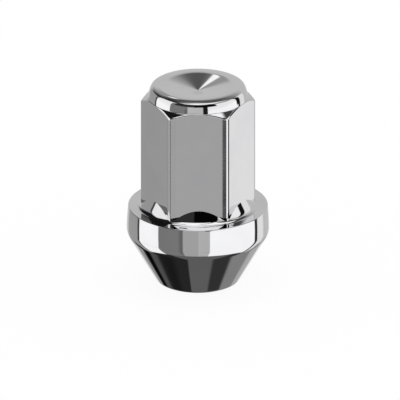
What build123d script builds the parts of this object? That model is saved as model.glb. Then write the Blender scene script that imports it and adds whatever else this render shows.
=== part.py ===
from build123d import *
import os
from math import cos, radians, tan

# Driving dimensions in millimetres, angles in degrees.
# The nut stands on its seat end, and heights go up the +Z axis from there.

# Blind stud hole, tapped M14 x 1.5; an ISO thread's minor diameter is 1.0825 pitches under its nominal
thread_diameter = 14.0
thread_pitch = 1.5
thread_depth_in_pitches = 1.0825
mouth_relief = 0.4
mouth_angle = 90.0
drill_point_angle = 118.0
end_wall = 3.9

# Conical wheel seat
seat_angle = 60.0
seat_height = 10.92
seat_lip_width = 0.6
seat_edge_radius = 1.1

# Collar with a slightly barrelled band and a flat ledge
collar_height = 16.75
collar_barrel_radius = 40.0
collar_lower_radius = 3.6
collar_edge_break = 0.15
ledge_width = 1.66

# Flare that runs the hexagon out into the collar
flare_angle = 60.0
flare_margin = 0.1
flare_foot_radius = 1.5

# Hexagon for the wheel wrench
hex_across_flats = 21.0
hex_corner_radius = 0.75
hex_height = 24.6
chamfer_angle = 35.0

# Round crown with a shallow conical dimple
crown_setback = 0.1
crown_height = 2.45
rim_radius = 1.3
land_width = 2.55
land_angle = 15.0
crest_radius = 6.0
dimple_angle = 10.0


def slope(angle):
    """Rise over run of an angle in degrees."""
    return tan(radians(angle))


def turned(section):
    """Solid of revolution about +Z of a half section drawn as (radius, height)."""
    return revolve(Plane.XZ * section, Axis.Z)


def rounded(section, corner, radius):
    """Half section with one corner, given as (radius, height), rounded off."""
    return fillet(section.vertices().sort_by_distance(corner)[0], radius)


# Hole mouth: the tapped wall stands at the minor radius, and a countersink opens it past the thread
minor_radius = (thread_diameter - thread_depth_in_pitches * thread_pitch) / 2
mouth_radius = thread_diameter / 2 + mouth_relief
mouth_depth = (mouth_radius - minor_radius) / slope(mouth_angle / 2)

# Hexagon reach over its rounded corners, with the flare, its fillet and the ledge just outside it
hex_apothem = hex_across_flats / 2
corner_reach = (hex_apothem - hex_corner_radius) / cos(radians(30)) + hex_corner_radius
flare_foot = corner_reach + flare_margin
flare_top = collar_height + (flare_foot - minor_radius) * slope(flare_angle)
ledge_end = flare_foot + flare_foot_radius * slope(flare_angle / 2) + ledge_width

# Seat: the cone starts outside the lip round the mouth
seat_end = mouth_radius + seat_lip_width + seat_edge_radius * slope(45 - seat_angle / 4)
seat_rim = seat_end + seat_height * slope(seat_angle / 2)

# Crown: side, sloping land, rounded crest and dimple, counted up from the hexagon's shoulder
shoulder_height = collar_height + hex_height
overall_length = shoulder_height + crown_height
crown_radius = hex_apothem - crown_setback
crest_corner = crown_radius - land_width
crest_turn = radians(land_angle + dimple_angle)
crest_tilt = radians(land_angle - dimple_angle)
crest_top = overall_length + crest_radius * (cos(crest_tilt / 2) / cos(crest_turn / 2) - 1)
rim_corner = crest_top - land_width * slope(land_angle)
dimple_floor = crest_top - crest_corner * slope(dimple_angle)

# Hole depth: the drilled point stops one end wall short of the dimple
point_length = minor_radius / slope(drill_point_angle / 2)
hole_depth = dimple_floor - end_wall - point_length

# Collar and seat, turned in one section with the flare that the hexagon stands in
band = RadiusArc((ledge_end, collar_height), (seat_rim, seat_height), collar_barrel_radius)
seat = Polyline((seat_rim, seat_height), (seat_end, 0), (0, 0), (0, flare_top))
flare = Polyline((0, flare_top), (minor_radius, flare_top), (flare_foot, collar_height))
ledge = Line((flare_foot, collar_height), (ledge_end, collar_height))
collar_section = make_face(band + seat + flare + ledge)
collar_section = rounded(collar_section, (seat_end, 0), seat_edge_radius)
collar_section = rounded(collar_section, (seat_rim, seat_height), collar_lower_radius)
collar_section = rounded(collar_section, (flare_foot, collar_height), flare_foot_radius)
collar_edge = collar_section.vertices().sort_by_distance((ledge_end, collar_height))[0]
collar_section = chamfer(collar_edge, collar_edge_break)
collar = turned(collar_section)

# Head: a hexagonal bar with rounded corners, kept inside a turned chamfer and crown.
# The turned section reaches a whole hexagon out, well past the bar's corners.
hexagon = RegularPolygon(hex_apothem, 6, major_radius=False)
hexagon = fillet(hexagon.vertices(), hex_corner_radius)
bar = extrude(hexagon, overall_length)
chamfer_foot = shoulder_height - (hex_across_flats - crown_radius) * slope(chamfer_angle)
head_section = make_face(
    Polyline(
        (0, collar_height),
        (hex_across_flats, collar_height),
        (hex_across_flats, chamfer_foot),
        (crown_radius, shoulder_height),
        (crown_radius, rim_corner),
        (crest_corner, crest_top),
        (0, dimple_floor),
        close=True,
    )
)
head_section = rounded(head_section, (crown_radius, rim_corner), rim_radius)
head_section = rounded(head_section, (crest_corner, crest_top), crest_radius)
head = bar & turned(head_section)

# Stud hole with its countersunk mouth and drilled point
hole = turned(
    make_face(
        Polyline(
            (0, 0),
            (mouth_radius, 0),
            (minor_radius, mouth_depth),
            (minor_radius, hole_depth),
            (0, hole_depth + point_length),
            close=True,
        )
    )
)

lug_nut = collar + head - hole

os.makedirs("parts", exist_ok=True)
export_step(lug_nut, "parts/lug_nut.step")
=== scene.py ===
from math import atan2, cos, pi, radians, sin, sqrt, tan

import bmesh
import bpy
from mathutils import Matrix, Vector


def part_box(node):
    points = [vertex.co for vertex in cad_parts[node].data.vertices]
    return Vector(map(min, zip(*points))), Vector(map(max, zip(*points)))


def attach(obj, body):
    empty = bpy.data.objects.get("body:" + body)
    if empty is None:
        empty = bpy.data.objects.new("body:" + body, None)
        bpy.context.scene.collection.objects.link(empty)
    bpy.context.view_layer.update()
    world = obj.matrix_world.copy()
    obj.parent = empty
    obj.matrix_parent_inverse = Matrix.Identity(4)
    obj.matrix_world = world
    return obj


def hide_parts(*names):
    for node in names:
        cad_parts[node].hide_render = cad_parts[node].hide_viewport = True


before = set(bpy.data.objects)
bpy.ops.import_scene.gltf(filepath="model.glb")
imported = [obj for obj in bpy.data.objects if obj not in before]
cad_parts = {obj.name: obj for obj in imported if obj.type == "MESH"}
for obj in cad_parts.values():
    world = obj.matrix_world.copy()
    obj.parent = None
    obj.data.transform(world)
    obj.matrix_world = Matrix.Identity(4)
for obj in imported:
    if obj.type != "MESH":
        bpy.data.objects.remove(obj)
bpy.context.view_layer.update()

# The outside of the nut: one piece of steel, cold formed in dies to its seat, collar, hexagon and crown.
# A half outline is spun into a blank with one column of points for each step round the hexagon.
# The columns are then pressed in or out to the flats and their rounded corners.
MM = 0.001
nut_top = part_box("lug_nut")[1].z

# Hexagon: the flats roll off towards each corner, and a turned chamfer cuts the corners at the top
hex_apothem = 10.5 * MM
hex_half_flat = radians(30)
hex_corner_radius = 0.4 * MM
hex_roll_radius = 7 * MM
hex_roll = radians(9)
hex_edge_radius = 0.5 * MM
hex_edge_per_chamfer = 1.3
chamfer_angle = radians(35)
flat_steps, roll_steps, corner_steps = 10, 6, 6

# Collar with a barrelled band, and the flare that runs the hexagon out into its ledge
collar_height = 16.75 * MM
collar_barrel_radius = 40 * MM
collar_edge_radius = 0.15 * MM
collar_lower_radius = 3.6 * MM
ledge_width = 1.66 * MM
flare_angle = radians(60)
flare_margin = 0.1 * MM
flare_foot_radius = 1.5 * MM
band_steps, flare_steps = 12, 16

# Conical seat, and the flat lip that the nut stands on round the hole's mouth
seat_height = 10.92 * MM
seat_angle = radians(30)
seat_edge_radius = 1.1 * MM
lip_radius = 8.0 * MM
mouth_radius = 7.4 * MM
mouth_edge_radius = 0.12 * MM
mouth_depth = 0.25 * MM

# Crown: sides that lean in and turn over at the rim, a sloping land, a rounded crest and a conical dimple
shoulder_height = 41.35 * MM
shoulder_radius = 0.2 * MM
shoulder_per_hex_edge = 0.5
crown_radius = 10.45 * MM
crown_turn_radius = 2.4 * MM
crown_turn_start, crown_turn_end, crown_foot = radians(52), radians(70), radians(82)
rim_radius = 0.5 * MM
land_width = 2.55 * MM
land_angle = radians(15)
crest_radius = 6.0 * MM
dimple_angle = radians(10)
dimple_rings = 0, 0.02, 0.3
crown_steps = 8

# Width of wall that is held straight beside each rounding
guard = 0.08 * MM

# What follows from these: the reach and height of each form, from the hexagon's corners to the crown's rim
roll_inset = hex_roll_radius - (hex_roll_radius - hex_corner_radius) * cos(hex_roll)
corner_centre = (hex_apothem - roll_inset) / cos(hex_half_flat)
corner_reach = corner_centre + hex_corner_radius
flare_foot = corner_reach + flare_margin
flare_end = flare_foot + flare_foot_radius * tan(flare_angle / 2)
flare_start = flare_foot - flare_foot_radius * tan(flare_angle / 2) * cos(flare_angle)
ledge_end = flare_end + ledge_width
seat_end = lip_radius + seat_edge_radius * tan(radians(45) - seat_angle / 2)
seat_rim = seat_end + seat_height * tan(seat_angle)
crest_corner = crown_radius - land_width
crest_turn = cos((land_angle - dimple_angle) / 2) / cos((land_angle + dimple_angle) / 2)
crest_top = nut_top + crest_radius * (crest_turn - 1)
crown_slope = (crown_turn_end + crown_foot) / 2
turn_width = crown_turn_radius * (sin(crown_turn_end) - sin(crown_turn_start))
turn_drop = crown_turn_radius * (cos(crown_turn_start) - cos(crown_turn_end))
land_drop = (crown_radius - turn_width - crest_corner) * tan(land_angle)
crown_drop = crest_top - shoulder_height - turn_drop - land_drop
rim_reach = crown_radius - turn_width - crown_drop / (tan(crown_slope) - tan(land_angle))
rim_height = crest_top - (rim_reach - crest_corner) * tan(land_angle)
side_height = rim_height - turn_drop - shoulder_height
crown_side_radius = side_height / (2 * sin(crown_slope) * sin((crown_foot - crown_turn_end) / 2))


def flare_height(radius):
    """Height of the flare's cone, or of the fillet at its foot, at a radius."""
    if radius < flare_start:
        return collar_height + (flare_foot - radius) * tan(flare_angle)
    return collar_height + flare_foot_radius - sqrt(flare_foot_radius**2 - (flare_end - radius) ** 2)


def arc(start, end, middle, radius, steps):
    """Points of an arc round a middle, from one point to another."""
    spokes = [(start - middle).slerp(end - middle, i / steps) for i in range(steps + 1)]
    return [middle + spoke * radius for spoke in spokes]


def rounded_corner(before, corner, after, radius, steps, straight=guard):
    """Points that round a corner off, with one more on each side that holds the wall straight."""
    back, on = (before - corner).normalized(), (after - corner).normalized()
    half = back.angle(on) / 2
    middle = corner + (back + on).normalized() * radius / sin(half)
    start = corner + back * radius / tan(half)
    end = corner + on * radius / tan(half)
    rounding = arc(start, end, middle, radius, steps)
    return [start + back * straight] + rounding + [end + on * straight]


def bowed(start, end, radius, steps):
    """Points of a wall that bows outwards from one point down to another."""
    chord = end - start
    inwards = Vector((chord.y, -chord.x)).normalized()
    middle = (start + end) / 2 + inwards * sqrt(radius**2 - chord.length**2 / 4)
    return arc(start, end, middle, radius, steps)


def nut_outline(reach):
    """Half outline from the dimple to the hole's mouth, where the hexagon's wall stands out to a reach."""
    dimple = Vector((0, crest_top - crest_corner * tan(dimple_angle)))
    crest = Vector((crest_corner, crest_top))
    rim = Vector((rim_reach, rim_height))
    crown_turn = rim + Vector((turn_width, -turn_drop))
    shoulder = Vector((crown_radius, shoulder_height))
    hex_top = Vector((reach, shoulder_height - (reach - crown_radius) * tan(chamfer_angle)))
    hex_foot = Vector((reach, flare_height(reach)))
    ledge_start = Vector((flare_end, collar_height))
    band_top, band_low = Vector((ledge_end, collar_height)), Vector((seat_rim, seat_height))
    seat_foot, mouth = Vector((seat_end, 0)), Vector((mouth_radius, 0))
    mouth_end = Vector((mouth_radius - mouth_depth, mouth_depth))

    crown = bowed(rim, crown_turn, crown_turn_radius, crown_steps)[:-1]
    crown += bowed(crown_turn, shoulder, crown_side_radius, crown_steps)
    band = bowed(band_top, band_low, collar_barrel_radius, band_steps)

    # The chamfer is short in the middle of a flat, and there its roundings shrink to fit
    hex_edge = min(hex_edge_radius, hex_edge_per_chamfer * (hex_top - shoulder).length)
    shoulder_edge = min(shoulder_radius, shoulder_per_hex_edge * hex_edge)

    points = [dimple.lerp(crest, share) for share in dimple_rings]
    points += rounded_corner(dimple, crest, rim, crest_radius, steps=12)
    points += rounded_corner(crest, rim, crown[1], rim_radius, steps=8)
    points += crown[2:-2]
    points += rounded_corner(crown[-2], shoulder, hex_top, shoulder_edge, steps=4)
    points += rounded_corner(shoulder, hex_top, hex_foot, hex_edge, steps=6, straight=0.1 * hex_edge)
    points += [hex_foot + Vector((0, guard)), hex_foot]
    for i in range(1, flare_steps + 1):
        radius = reach + (flare_end - reach) * i / flare_steps
        points.append(Vector((radius, flare_height(radius))))
    points += rounded_corner(ledge_start, band_top, band[1], collar_edge_radius, steps=4)
    points += band[1:-3]
    points += rounded_corner(band[-2], band_low, seat_foot, collar_lower_radius, steps=12)
    points += rounded_corner(band_low, seat_foot, mouth, seat_edge_radius, steps=10)
    points += rounded_corner(seat_foot, mouth, mouth_end, mouth_edge_radius, steps=3, straight=0.2 * guard)
    return points + [mouth_end]


def hexagon_columns():
    """Angle and reach of each column round the hexagon, closer together over its rolls and corners."""
    corner = corner_centre * Vector((cos(hex_half_flat), sin(hex_half_flat)))
    roll = corner - (hex_roll_radius - hex_corner_radius) * Vector((cos(hex_roll), sin(hex_roll)))
    flat_end = roll.y - guard
    spots = [Vector((hex_apothem, flat_end * i / flat_steps)) for i in range(flat_steps + 1)]
    for i in range(roll_steps + 1):
        turn = hex_roll * i / roll_steps
        spots.append(roll + hex_roll_radius * Vector((cos(turn), sin(turn))))
    for i in range(1, corner_steps + 1):
        turn = hex_roll + (hex_half_flat - hex_roll) * i / corner_steps
        spots.append(corner + hex_corner_radius * Vector((cos(turn), sin(turn))))
    half = [(atan2(spot.y, spot.x), spot.length) for spot in spots]
    sector = half + [(2 * hex_half_flat - angle, reach) for angle, reach in half[-2:0:-1]]
    flat_middles = [hex_half_flat * (1 + 2 * k) for k in range(6)]
    return [(middle + angle, reach) for middle in flat_middles for angle, reach in sector]


columns = hexagon_columns()
nut = bmesh.new()
row_of = nut.verts.layers.int.new("row")
for row, point in enumerate(nut_outline(corner_reach)):
    vertex = nut.verts.new((point.x, 0, point.y))
    vertex[row_of] = row
nut.verts.ensure_lookup_table()
for row in range(len(nut.verts) - 1):
    nut.edges.new(nut.verts[row : row + 2])
bmesh.ops.spin(
    nut,
    geom=nut.verts[:] + nut.edges[:],
    cent=(0, 0, 0),
    axis=(0, 0, 1),
    angle=2 * pi,
    steps=len(columns),
    use_merge=True,
)
outlines = [nut_outline(reach) for angle, reach in columns]
for vertex in nut.verts:
    turn = atan2(vertex.co.y, vertex.co.x) / (2 * pi)
    column = round(turn * len(columns)) % len(columns)
    angle, point = columns[column][0], outlines[column][vertex[row_of]]
    vertex.co = (point.x * cos(angle), point.x * sin(angle), point.y)
bmesh.ops.remove_doubles(nut, verts=nut.verts, dist=0.00001 * MM)

# The stud hole: drilled blind up the nut's axis, countersunk at its mouth and tapped M14 x 1.5.
# One pitch of the thread is spun up the hole as a helix, with its crests cut by the countersink
# and its last turns running out into the plain drilled wall.
thread_pitch = 1.5 * MM
thread_crest, thread_root = 6.188 * MM, 7.0 * MM
crest_flat, root_flat = 0.25, 0.125
pitches_below_mouth = 2
thread_turns = 24
steps_per_turn = 72
thread_fade_start, thread_fade_end = 29 * MM, 32.5 * MM
thread_low, thread_high = 0.35 * MM, 33.2 * MM
hole_depth = 34.937 * MM
drill_tip = 38.655 * MM
sharp_edge_angle = radians(22)

bore = bmesh.new()
flank = (1 - crest_flat - root_flat) / 2
flank_mid = (thread_crest + thread_root) / 2
one_pitch = [
    (thread_crest, 0),
    (thread_crest, crest_flat),
    (flank_mid, crest_flat + flank / 2),
    (thread_root, crest_flat + flank),
    (thread_root, 1 - flank),
    (flank_mid, 1 - flank / 2),
    (thread_crest, 1),
]
for radius, share in one_pitch:
    bore.verts.new((radius, 0, (share - pitches_below_mouth) * thread_pitch))
bore.verts.ensure_lookup_table()
for i in range(len(one_pitch) - 1):
    bore.edges.new(bore.verts[i : i + 2])
bmesh.ops.spin(
    bore,
    geom=bore.verts[:] + bore.edges[:],
    cent=(0, 0, 0),
    axis=(0, 0, 1),
    dvec=(0, 0, thread_pitch / steps_per_turn),
    angle=2 * pi * thread_turns,
    steps=thread_turns * steps_per_turn,
)
bmesh.ops.remove_doubles(bore, verts=bore.verts, dist=0.001 * MM)
for vertex in bore.verts:
    radius = vertex.co.xy.length
    fade = (thread_fade_end - vertex.co.z) / (thread_fade_end - thread_fade_start)
    threaded = thread_crest + (radius - thread_crest) * min(max(fade, 0), 1)
    countersunk = mouth_radius - max(vertex.co.z, mouth_depth)
    vertex.co.xy *= max(threaded, countersunk) / radius
for cut_height, cut_side in ((thread_low, -1), (thread_high, 1)):
    bmesh.ops.bisect_plane(
        bore,
        geom=bore.verts[:] + bore.edges[:] + bore.faces[:],
        dist=0.0001 * MM,
        plane_co=(0, 0, cut_height),
        plane_no=(0, 0, cut_side),
        clear_outer=True,
    )
top_edges = [edge for edge in bore.edges if edge.is_boundary and edge.verts[0].co.z > nut_top / 2]
wall = bmesh.ops.extrude_edge_only(bore, edges=top_edges)["geom"]
wall_verts = [part for part in wall if isinstance(part, bmesh.types.BMVert)]
bmesh.ops.translate(bore, verts=wall_verts, vec=(0, 0, hole_depth - thread_high))
wall_edges = [part for part in wall if isinstance(part, bmesh.types.BMEdge)]
point_cone = bmesh.ops.extrude_edge_only(bore, edges=wall_edges)["geom"]
point_verts = [part for part in point_cone if isinstance(part, bmesh.types.BMVert)]
bmesh.ops.pointmerge(bore, verts=point_verts, merge_co=(0, 0, drill_tip))

bore_mesh = bpy.data.meshes.new("stud_hole")
bore.to_mesh(bore_mesh)
bore.free()
nut.from_mesh(bore_mesh)
bpy.data.meshes.remove(bore_mesh)
bmesh.ops.bridge_loops(nut, edges=[edge for edge in nut.edges if edge.is_boundary])
bmesh.ops.dissolve_degenerate(nut, edges=nut.edges, dist=0.0001 * MM)
bmesh.ops.recalc_face_normals(nut, faces=nut.faces)
for face in nut.faces:
    face.smooth = True
for edge in nut.edges:
    edge.smooth = edge.calc_face_angle(0) < sharp_edge_angle

nut_mesh = bpy.data.meshes.new("nut_body")
nut.to_mesh(nut_mesh)
nut.free()
nut_body = bpy.data.objects.new("nut_body", nut_mesh)
bpy.context.scene.collection.objects.link(nut_body)
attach(nut_body, "root")
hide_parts("lug_nut")


# The plating: bright chrome over polished nickel on every outside surface, with the faint haze and
# buffing streaks that polishing leaves. Little of it reaches up the hole, so the thread stays
# dull steel, darkened by oil.
class Shade:
    """A shader socket for Python arithmetic: each operator adds a Math node to the socket's tree."""

    def __init__(self, socket):
        self.socket = socket

    def node(self, kind, settings, values, output=0):
        """Add a node with its settings, then its socket values or links, and take one of its outputs."""
        tree = self.socket.id_data
        added = tree.nodes.new(kind)
        for name, setting in settings.items():
            setattr(added, name, setting)
        for name, value in values.items():
            if isinstance(value, Shade):
                tree.links.new(value.socket, added.inputs[name])
            else:
                added.inputs[name].default_value = value
        return Shade(added.outputs[output])

    def math(self, operation, first, second=0.0):
        """Add one Math node."""
        return self.node("ShaderNodeMath", {"operation": operation}, {0: first, 1: second})

    def ramp(self, low, high):
        """Rise smoothly from 0 at one value to 1 at another, which may be the lower of the two."""
        limits = {"Value": self, "From Min": low, "From Max": high}
        return self.node("ShaderNodeMapRange", {"interpolation_type": "SMOOTHSTEP"}, limits)

    def noise(self, scale, detail):
        """Noise over this place, with a scale in patches to the metre."""
        cloud = {"Vector": self, "Scale": scale, "Detail": detail}
        return self.node("ShaderNodeTexNoise", {}, cloud, "Fac")

    def blend(self, first, second):
        """Go from one colour where this value is 0 to another where it is 1."""
        # A Mix node's colours are its inputs 6 and 7 and its output 2
        colours = {"Factor": self, 6: first, 7: second}
        return self.node("ShaderNodeMix", {"data_type": "RGBA"}, colours, 2)

    def feed(self, socket):
        """Link this socket to an input."""
        socket.id_data.links.new(self.socket, socket)

    def __add__(self, other):
        return self.math("ADD", self, other)

    def __mul__(self, other):
        return self.math("MULTIPLY", self, other)

    def __sub__(self, other):
        return self.math("SUBTRACT", self, other)

    def __rsub__(self, other):
        return self.math("SUBTRACT", other, self)

    __radd__ = __add__
    __rmul__ = __mul__


chrome_colour, hazed_colour = (0.8, 0.8, 0.81, 1), (0.76, 0.76, 0.775, 1)
steel_colour, oil_colour = (0.34, 0.33, 0.32, 1), (0.2, 0.19, 0.175, 1)
haze_range, oil_range = (0.35, 0.75), (0.4, 0.65)
streak_stretch = 0.06, 0.06, 1

# The plating gives way to steel over these radii at the hole's side, and these heights at its mouth and end
bore_side, bore_mouth, bore_end = (7.3 * MM, 7.05 * MM), (0.1 * MM, 0.5 * MM), (39.4 * MM, 39 * MM)

chrome = bpy.data.materials.new("chrome_plate")
chrome.use_nodes = True
chrome_shader = chrome.node_tree.nodes["Principled BSDF"]
chrome_shader.inputs["Metallic"].default_value = 1
plate = Shade(chrome_shader.outputs["BSDF"])
place = plate.node("ShaderNodeTexCoord", {}, {}, "Object")
flat_place = plate.node("ShaderNodeVectorMath", {"operation": "MULTIPLY"}, {0: place, 1: (1, 1, 0)})
from_axis = plate.node("ShaderNodeVectorMath", {"operation": "LENGTH"}, {0: flat_place}, "Value")
height = plate.node("ShaderNodeSeparateXYZ", {}, {"Vector": place}, "Z")
in_bore = from_axis.ramp(*bore_side) * height.ramp(*bore_mouth) * height.ramp(*bore_end)

haze = place.noise(scale=160.0, detail=3.0)
streak_place = plate.node("ShaderNodeVectorMath", {"operation": "MULTIPLY"}, {0: place, 1: streak_stretch})
streaks = streak_place.noise(scale=5200.0, detail=2.0)
oil = place.noise(scale=420.0, detail=4.0)
plate_colour = haze.ramp(*haze_range).blend(chrome_colour, hazed_colour)
hole_colour = oil.ramp(*oil_range).blend(steel_colour, oil_colour)
nut_colour = in_bore.blend(plate_colour, hole_colour)
nut_colour.feed(chrome_shader.inputs["Base Color"])
plate_roughness = 0.02 + haze * 0.02 + streaks * 0.01
hole_roughness = 0.3 + oil * 0.15
nut_roughness = plate_roughness * (1 - in_bore) + hole_roughness * in_bore
nut_roughness.feed(chrome_shader.inputs["Roughness"])
nut_mesh.materials.append(chrome)

# The photographer's table: a white paper sheet that the nut stands on, lit evenly so that only the nut's
# own soft shadow shows. The chrome doesn't mirror it, because the photograph's seat shows a darker board.
sheet_half_width = 2
even_light = 0.9
paper_colour, grain_colour = (1, 1, 1, 1), (0.98, 0.98, 0.98, 1)

floor_mesh = bpy.data.meshes.new("floor")
floor_shape = bmesh.new()
bmesh.ops.create_grid(floor_shape, x_segments=1, y_segments=1, size=sheet_half_width)
floor_shape.to_mesh(floor_mesh)
floor_shape.free()
floor = bpy.data.objects.new("floor", floor_mesh)
bpy.context.scene.collection.objects.link(floor)
floor.visible_glossy = False

sheet = bpy.data.materials.new("white_sheet")
sheet.use_nodes = True
sheet_shader = sheet.node_tree.nodes["Principled BSDF"]
sheet_shader.inputs["Roughness"].default_value = 0.9
sheet_shader.inputs["Specular IOR Level"].default_value = 0.0
paper = Shade(sheet_shader.outputs["BSDF"])
paper_place = paper.node("ShaderNodeTexCoord", {}, {}, "Object")
paper_grain = paper_place.noise(scale=900.0, detail=3.0)
paper_grain.blend(grain_colour, paper_colour).feed(sheet_shader.inputs["Base Color"])
lit_sheet = paper.node("ShaderNodeEmission", {}, {"Color": paper_colour, "Strength": 1.0})
ray_kinds = "Is Camera Ray", "Is Glossy Ray", "Is Transmission Ray"
seen = sum(paper.node("ShaderNodeLightPath", {}, {}, kind) for kind in ray_kinds)
lit_share = seen.ramp(0, 1) * even_light
sheet_mix = paper.node("ShaderNodeMixShader", {}, {0: lit_share, 1: paper, 2: lit_sheet})
sheet_mix.feed(sheet.node_tree.nodes["Material Output"].inputs["Surface"])
floor_mesh.materials.append(sheet)

# The studio round the nut: white softboxes left, right and overhead, grey walls, and the black cards
# that draw dark lines along the chrome's curves. Each panel is an oblong of sky with soft edges, and
# hangs in front of those before it. Only the chrome mirrors them: all else sees plain white light.
world = bpy.data.worlds.new("studio")
bpy.context.scene.world = world
world.use_nodes = True
world.cycles.sampling_method = "NONE"
sky_shader = world.node_tree.nodes["Background"]
sky = Shade(sky_shader.outputs["Background"])
way = sky.node("ShaderNodeTexCoord", {}, {}, "Generated")
side = sky.node("ShaderNodeSeparateXYZ", {}, {"Vector": way}, "X")
depth = sky.node("ShaderNodeSeparateXYZ", {}, {"Vector": way}, "Y")
rise = sky.node("ShaderNodeSeparateXYZ", {}, {"Vector": way}, "Z")

# Degrees round the nut, from the camera's side or from behind, and degrees up from the table
to_degrees = 180 / pi
from_front = sky.math("ARCTAN2", side, 0 - depth) * to_degrees
from_back = sky.math("ARCTAN2", side, depth) * to_degrees
up = sky.math("ARCSINE", rise) * to_degrees

# Edges that lie past a whole turn, straight up or straight down, so that they never show
all_round = -200, 200
top, bottom = 91, -91


def between(turn, edges, soft):
    """1 between two edges and 0 outside them, with a soft change at each."""
    first, last = edges
    return turn.ramp(first - soft, first + soft) * turn.ramp(last + soft, last - soft)


def panel(light, turn, sides, ends, tone, soft):
    """Light with one more panel in it, between two sides along a turn and two ends in height."""
    soft_sides, soft_ends = soft
    return light + between(turn, sides, soft_sides) * between(up, ends, soft_ends) * (tone - light)


# The room's plain grey, and its walls to the left and the right behind the nut
light = 0.585
light = panel(light, from_front, (-152, -108), (-44, 26), tone=0.37, soft=(4, 4))
light = panel(light, from_front, (108, 130), (-44, 26), tone=0.885, soft=(3, 4))

# A dark curtain left of the camera, a grey apron below the camera and a black stand right of it
light = panel(light, from_front, (-68, -25), (-60, 32), tone=0.218, soft=(1.5, 6))
light = panel(light, from_front, (-31, -25), (-40, 10), tone=0.146, soft=(3, 6))
light = panel(light, from_front, (-24, 0.4), (-60, -3), tone=0.427, soft=(1.5, 4))
light = panel(light, from_front, (0.4, 19), (-60, -3), tone=0.516, soft=(1.2, 4))
light = panel(light, from_front, (10.7, 23), (-7.8, 30), tone=0.012, soft=(1.5, 0.6))

# The left softbox, brighter low down, with the dark frame behind it
light = panel(light, from_front, (-115.5, -110), (-46, 20), tone=0.057, soft=(1, 4))
light = panel(light, from_front, (-110, -67.8), (-60, 42), tone=1.01, soft=(1, 3))
light = panel(light, from_front, (-110, -67.8), (-60, 6), tone=1.16, soft=(1, 7))

# The right softbox, wider at its foot and brighter low down, with the black frame behind it
light = panel(light, from_front, (18.3, 104), (-60, -7.8), tone=1.15, soft=(1, 0.6))
light = panel(light, from_front, (21.8, 104), (-9, 34), tone=1.01, soft=(1, 1))
light = panel(light, from_front, (21.8, 104), (-9, 6), tone=1.16, soft=(1, 7))
light = panel(light, from_front, (103.5, 110.5), (-50, 40), tone=0.016, soft=(1.5, 3))

# Thin slats at the one height that the upright flats and corners of the hexagon mirror
slat = -23.1, -22.43
light = panel(light, from_front, (-118, -18), slat, tone=0.354, soft=(2, 0.05))
light = panel(light, from_front, (-60, -24), slat, tone=0.128, soft=(3, 0.05))
light = panel(light, from_front, (-20, 5), slat, tone=0.416, soft=(1.5, 0.05))
light = panel(light, from_front, (4.5, 19), slat, tone=0.009, soft=(3, 0.05))

# Black flags by the right softbox's frame and above the camera
light = panel(light, from_front, (98.5, 110.5), (-7, 40), tone=0.006, soft=(1.5, 2))
light = panel(light, from_front, (-60, -6), (18, 53), tone=0.032, soft=(4, 2))
light = panel(light, from_front, (-10, 45), (18, 53), tone=0.002, soft=(2, 2))

# The overhead softbox, with dark cards across its left and right and a slanting strip by the left one.
# The cards' sides are shares of the way out to the horizon.
slant_across, slant_along = 0.61, 0.793
slant = side * slant_across + depth * slant_along
light = panel(light, from_front, all_round, (53, top), tone=1.15, soft=(1, 2))
light = panel(light, side, (-1.1, -0.42), (44, top), tone=0.016, soft=(0.03, 2))
light = panel(light, slant, (-0.172, -0.095), (50, 78.5), tone=0.01, soft=(0.01, 1))
light = panel(light, side, (0.43, 1.1), (50, top), tone=0.057, soft=(0.03, 3))

# The backdrop, darker towards its top, under the rear edge of the overhead softbox
light = panel(light, from_back, (0, 34), (31, 53.5), tone=0.381, soft=(14, 5))
light = panel(light, from_back, (0, 34), (37, 53.5), tone=0.256, soft=(14, 5))
light = panel(light, from_back, (-18, 16), (39, 53.5), tone=0.1, soft=(5, 4))
light = panel(light, from_back, (20, 60), (40, 57), tone=0.066, soft=(6, 4))
light = panel(light, from_back, (-50, 52), (53.5, 64), tone=1.15, soft=(8, 1.5))

# A black card on the backdrop's left, and a small lamp on its grey stem that makes the dimple's streak
light = panel(light, from_back, (-10.6, -3), (27, 37), tone=0.343, soft=(0.8, 4))
light = panel(light, from_back, (-68, -13), (22, 80), tone=0.01, soft=(5, 5))
light = panel(light, from_back, (-8.8, -5), (35.8, 39.6), tone=1.15, soft=(0.6, 0.7))

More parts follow.
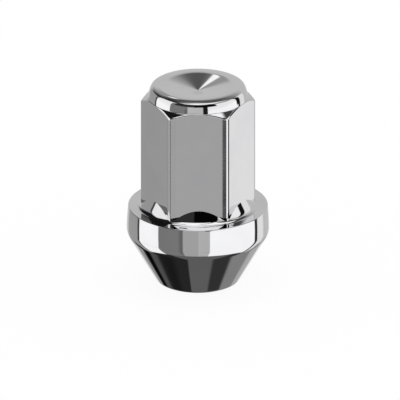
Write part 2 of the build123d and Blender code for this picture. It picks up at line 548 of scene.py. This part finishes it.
# The board round the nut's foot that the seat mirrors: dark, with stripes that pale towards the back,
# first those on the left and then those on the right
light = panel(light, from_front, all_round, (bottom, -51), tone=0.128, soft=(1, 3))
light = panel(light, from_back, (-123, -48), (bottom, -51), tone=0.022, soft=(4, 3))
light = panel(light, from_back, (-50, -30), (bottom, -37), tone=0.022, soft=(3, 3))
light = panel(light, from_back, (-85, -62), (bottom, -51), tone=0.012, soft=(8, 3))
light = panel(light, from_back, (-56, -44), (bottom, -45), tone=0.09, soft=(4, 3))
light = panel(light, from_back, (-44, -34), (bottom, -33), tone=0.003, soft=(2, 3))
light = panel(light, from_back, (-31, -18), (-60, -26), tone=0.328, soft=(4, 3))
light = panel(light, from_back, (-18, 0), (-50, -20), tone=0.763, soft=(5, 3))
light = panel(light, from_back, (70, 109), (bottom, -51), tone=0.036, soft=(6, 3))
light = panel(light, from_back, (50, 70), (bottom, -51), tone=0.252, soft=(4, 3))
light = panel(light, from_back, (36, 54), (bottom, -34), tone=0.252, soft=(4, 3))
light = panel(light, from_back, (18, 38), (-60, -26), tone=0.47, soft=(5, 3))
light = panel(light, from_back, (0, 18), (-50, -20), tone=0.941, soft=(5, 3))

mirrored = sky.node("ShaderNodeLightPath", {}, {}, "Is Glossy Ray")
sky_light = 1 - mirrored + light * mirrored
sky_light.feed(sky_shader.inputs["Color"])

# The camera: a long lens, so far off that the nut's upright edges stay parallel, a little above the nut.
# It is aimed at the middle of the picture, just right of the nut's axis and above its foot.
camera_turn, camera_lift = radians(-0.8), radians(22.57)
camera_distance = 0.5
view_width = 83.75 * MM
aim_right, aim_up = 0.419 * MM, 16.32 * MM

camera_data = bpy.data.cameras.new("camera")
camera = bpy.data.objects.new("camera", camera_data)
bpy.context.scene.collection.objects.link(camera)
bpy.context.scene.camera = camera
camera_data.type = "ORTHO"
camera_data.ortho_scale = view_width
level = Vector((sin(camera_turn), -cos(camera_turn), 0))
towards = level * cos(camera_lift) + Vector((0, 0, sin(camera_lift)))
sideways = Vector((cos(camera_turn), sin(camera_turn), 0))
camera.rotation_euler = towards.to_track_quat("Z", "Y").to_euler()
camera.location = towards * camera_distance + sideways * aim_right + towards.cross(sideways) * aim_up

bpy.context.scene.view_settings.view_transform = "Standard"
